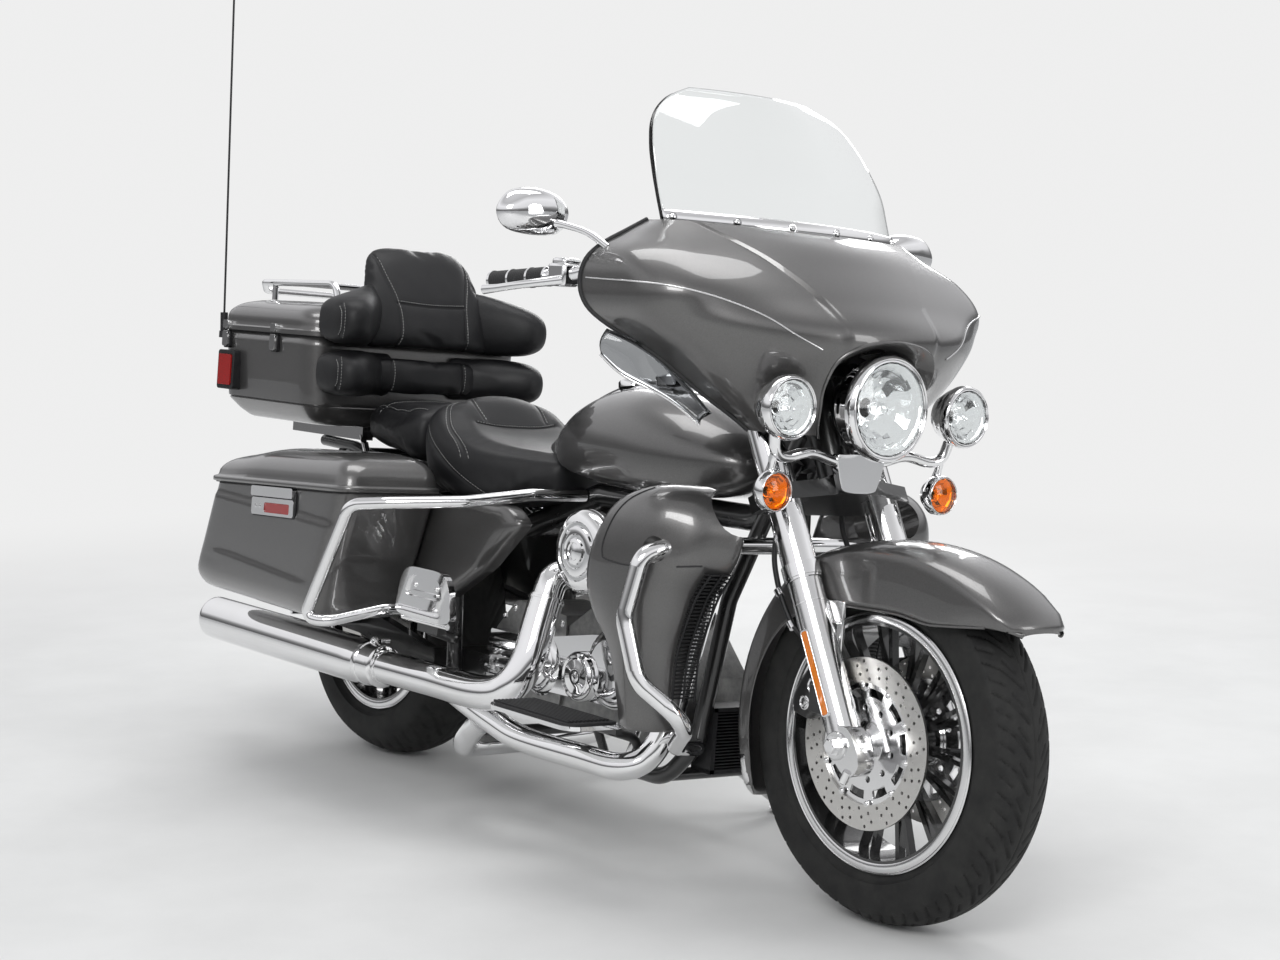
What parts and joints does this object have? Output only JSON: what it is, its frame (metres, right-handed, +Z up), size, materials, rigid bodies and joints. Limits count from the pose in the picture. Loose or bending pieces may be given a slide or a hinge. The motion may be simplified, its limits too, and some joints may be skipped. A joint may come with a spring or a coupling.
{
  "type": "touring cruiser motorcycle",
  "caption": "Touring cruiser motorcycle with fairing, windshield, finned V engine, hard saddlebags, top case with backrest; parked leaning on its side stand.",
  "frame": {"origin": "on the floor, under the middle of the parked machine's bounding box", "axes": "+X forward along the machine, +Y to the rider's left, +Z up; the machine leans 6 degrees to +Y on its side stand"},
  "size_m": [2.4554, 1.1066, 1.8094],
  "materials": {
    "tyre_rubber": "matte",
    "black_cast_wheel": "satin",
    "disc_steel": "brushed",
    "polished_chrome": "polished",
    "black_frame_paint": "gloss",
    "grey_cast_engine": "satin",
    "charcoal_paint": "gloss",
    "black_leather": "satin",
    "black_rubber": "matte",
    "black_plastic": "matte",
    "clear_screen": "clear"
  },
  "bodies": {
    "root": {"rocker_covers": "polished_chrome", "engine_covers": "polished_chrome", "pushrod_tubes": "polished_chrome", "air_cleaner": "polished_chrome", "exhaust_right": "polished_chrome", "exhaust_left": "polished_chrome", "rear_shocks": "polished_chrome", "bag_guards": "polished_chrome", "case_support": "polished_chrome", "engine_guard": "polished_chrome", "rear_lamps": "polished_chrome", "foot_controls": "polished_chrome", "frame": "black_frame_paint", "swingarm": "black_frame_paint", "antenna": "black_frame_paint", "engine_block": "grey_cast_engine", "cylinders": "grey_cast_engine", "fuel_tank": "charcoal_paint", "side_covers": "charcoal_paint", "rear_fender": "charcoal_paint", "saddlebag_right": "charcoal_paint", "saddlebag_left": "charcoal_paint", "case_body": "charcoal_paint", "lower_fairings": "charcoal_paint", "tank_console": "charcoal_paint", "seat": "black_leather", "backrest_pads": "black_leather", "drive_belt": "black_rubber", "oil_cooler": "black_plastic"},
    "steering": {"fork_sliders": "polished_chrome", "fork_covers": "polished_chrome", "triple_clamps": "black_frame_paint", "front_fender": "charcoal_paint", "front_calipers": "black_frame_paint", "brake_hoses": "black_rubber", "headlight": "polished_chrome", "outer_fairing": "charcoal_paint", "inner_fairing": "black_plastic", "handlebar": "polished_chrome", "windshield": "clear_screen", "light_bar": "polished_chrome", "mirrors": "polished_chrome"},
    "front_wheel": {"front_tyre": "tyre_rubber", "front_rim": "black_cast_wheel", "front_discs": "disc_steel"},
    "rear_wheel": {"rear_tyre": "tyre_rubber", "rear_rim": "black_cast_wheel", "rear_disc_and_pulley": "disc_steel"},
    "case_lid": {"case_lid": "charcoal_paint", "luggage_rack": "polished_chrome"},
    "saddlebag_lid_right": {"saddlebag_lid_right": "charcoal_paint"},
    "saddlebag_lid_left": {"saddlebag_lid_left": "charcoal_paint"},
    "passenger_board_right": {"passenger_board_right": "black_rubber"},
    "passenger_board_left": {"passenger_board_left": "black_rubber"},
    "rider_board_right": {"rider_board_right": "black_rubber"},
    "rider_board_left": {"rider_board_left": "black_rubber"},
    "side_stand": {"side_stand": "black_frame_paint"}
  },
  "joints": [
    {"name": "steering_turn", "type": "hinge", "parent": "root", "child": "steering", "pos_m": [0.66325, -0.02531, 0.84603], "axis": [-0.4384, 0.0939, 0.8939], "range_deg": [-30, 30]},
    {"name": "front_wheel_spin", "type": "hinge", "parent": "steering", "child": "front_wheel", "pos_m": [0.90775, -0.0807, 0.31893], "axis": [0, 0.9945, -0.1045], "continuous": true},
    {"name": "rear_wheel_spin", "type": "hinge", "parent": "root", "child": "rear_wheel", "pos_m": [-0.70525, -0.0807, 0.31893], "axis": [0, 0.9945, -0.1045], "continuous": true},
    {"name": "side_stand_fold", "type": "hinge", "parent": "root", "child": "side_stand", "pos_m": [0.17475, 0.0898, 0.15219], "axis": [0.1321, 0.6848, 0.7167], "range_deg": [0, 107.3]},
    {"name": "case_lid_open", "type": "hinge", "parent": "root", "child": "case_lid", "pos_m": [-0.93525, 0.27607, 0.91038], "axis": [-1, 0, 0], "range_deg": [0, 70]},
    {"name": "saddlebag_lid_right_open", "type": "hinge", "parent": "root", "child": "saddlebag_lid_right", "pos_m": [-0.60909, -0.24763, 0.6632], "axis": [-0.9987, -0.0054, -0.0512], "range_deg": [0, 40]},
    {"name": "saddlebag_lid_left_open", "type": "hinge", "parent": "root", "child": "saddlebag_lid_left", "pos_m": [-0.60909, 0.15415, 0.62098], "axis": [0.9987, 0.0054, 0.0512], "range_deg": [0, 40]},
    {"name": "passenger_board_right_fold", "type": "hinge", "parent": "root", "child": "passenger_board_right", "pos_m": [-0.15525, -0.37823, 0.41556], "axis": [1, 0, 0], "range_deg": [0, 85]},
    {"name": "passenger_board_left_fold", "type": "hinge", "parent": "root", "child": "passenger_board_left", "pos_m": [-0.15525, 0.23041, 0.35159], "axis": [-1, 0, 0], "range_deg": [0, 85]},
    {"name": "rider_board_right_fold", "type": "hinge", "parent": "root", "child": "rider_board_right", "pos_m": [0.33475, -0.35252, 0.30627], "axis": [-1, 0, 0], "range_deg": [0, 45]},
    {"name": "rider_board_left_fold", "type": "hinge", "parent": "root", "child": "rider_board_left", "pos_m": [0.33475, 0.18254, 0.25003], "axis": [1, 0, 0], "range_deg": [0, 45]}
  ]
}
